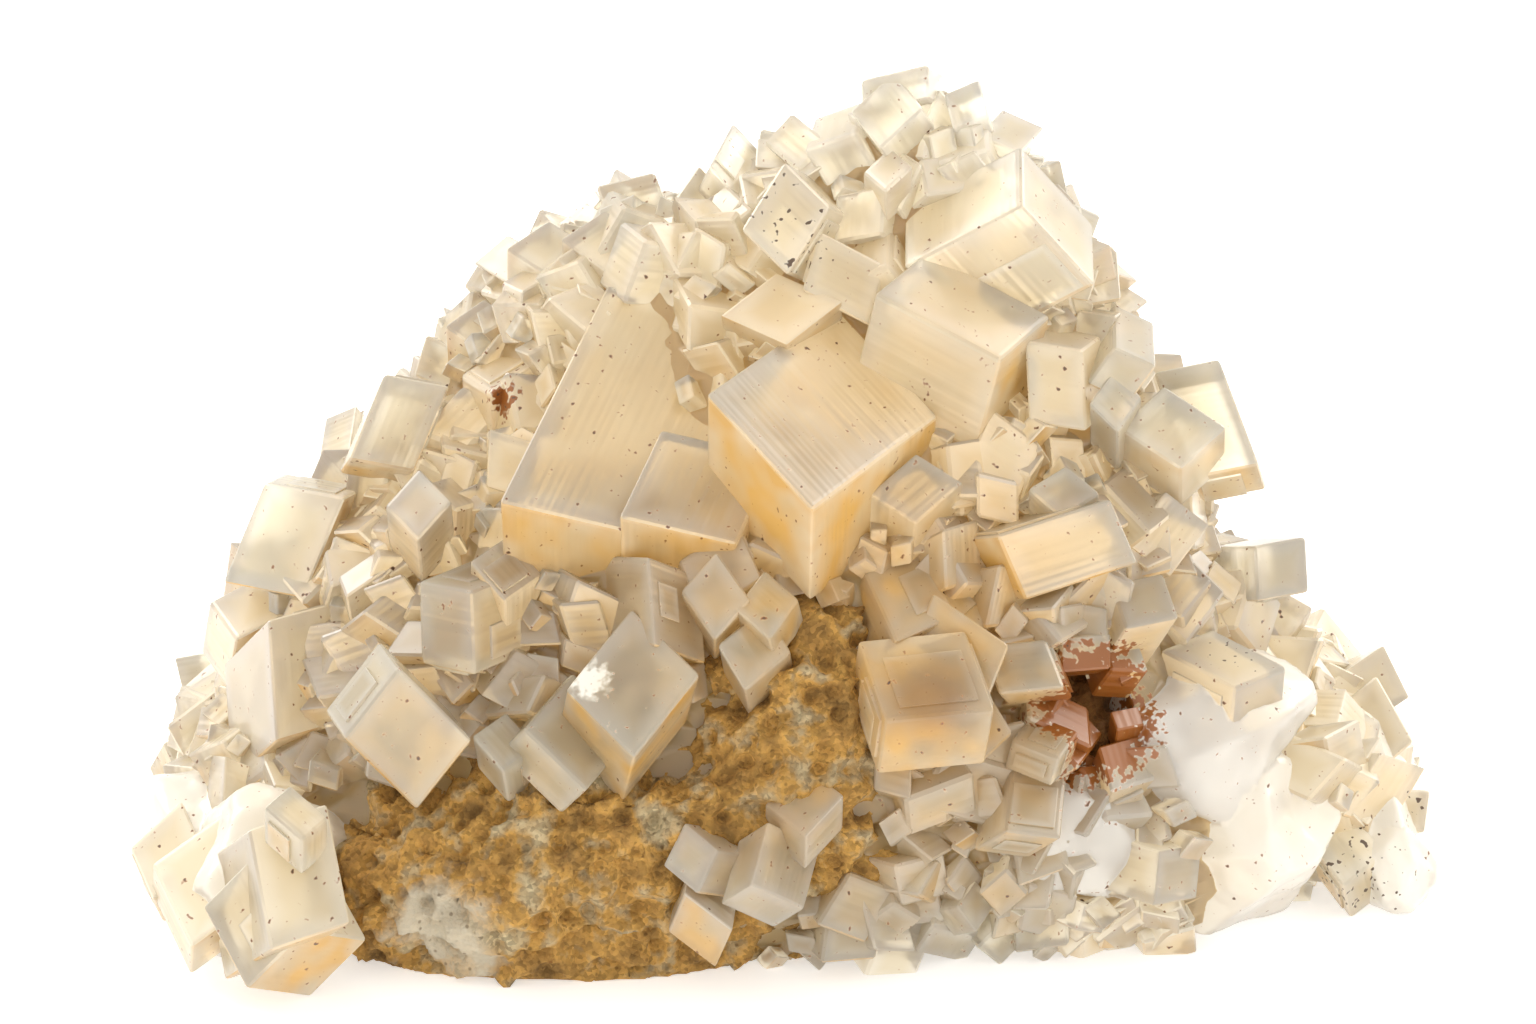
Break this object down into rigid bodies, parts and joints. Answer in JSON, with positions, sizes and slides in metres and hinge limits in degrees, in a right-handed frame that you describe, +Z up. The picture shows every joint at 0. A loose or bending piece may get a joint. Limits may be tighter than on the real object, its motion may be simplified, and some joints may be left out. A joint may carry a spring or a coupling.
{
  "type": "calcite crystal specimen",
  "caption": "Mound of cream calcite rhombohedra grown together over a lump of sandy limestone, a display mineral that rests on its flat underside.",
  "frame": {"origin": "on the surface that the specimen rests on, under the middle of the mound", "axes": "+X along its greatest width, to the right seen from its front; -Y towards the front, where the bare rock shows; +Z up"},
  "size_m": [0.1146, 0.0812, 0.0703],
  "materials": {
    "limestone": "rough, sandy",
    "calcite": "translucent, glassy to satin crystal faces"
  },
  "bodies": {
    "root": {"limestone_matrix": "limestone", "calcite_crust": "calcite", "lower_crystal_cluster": "calcite"}
  },
  "joints": []
}
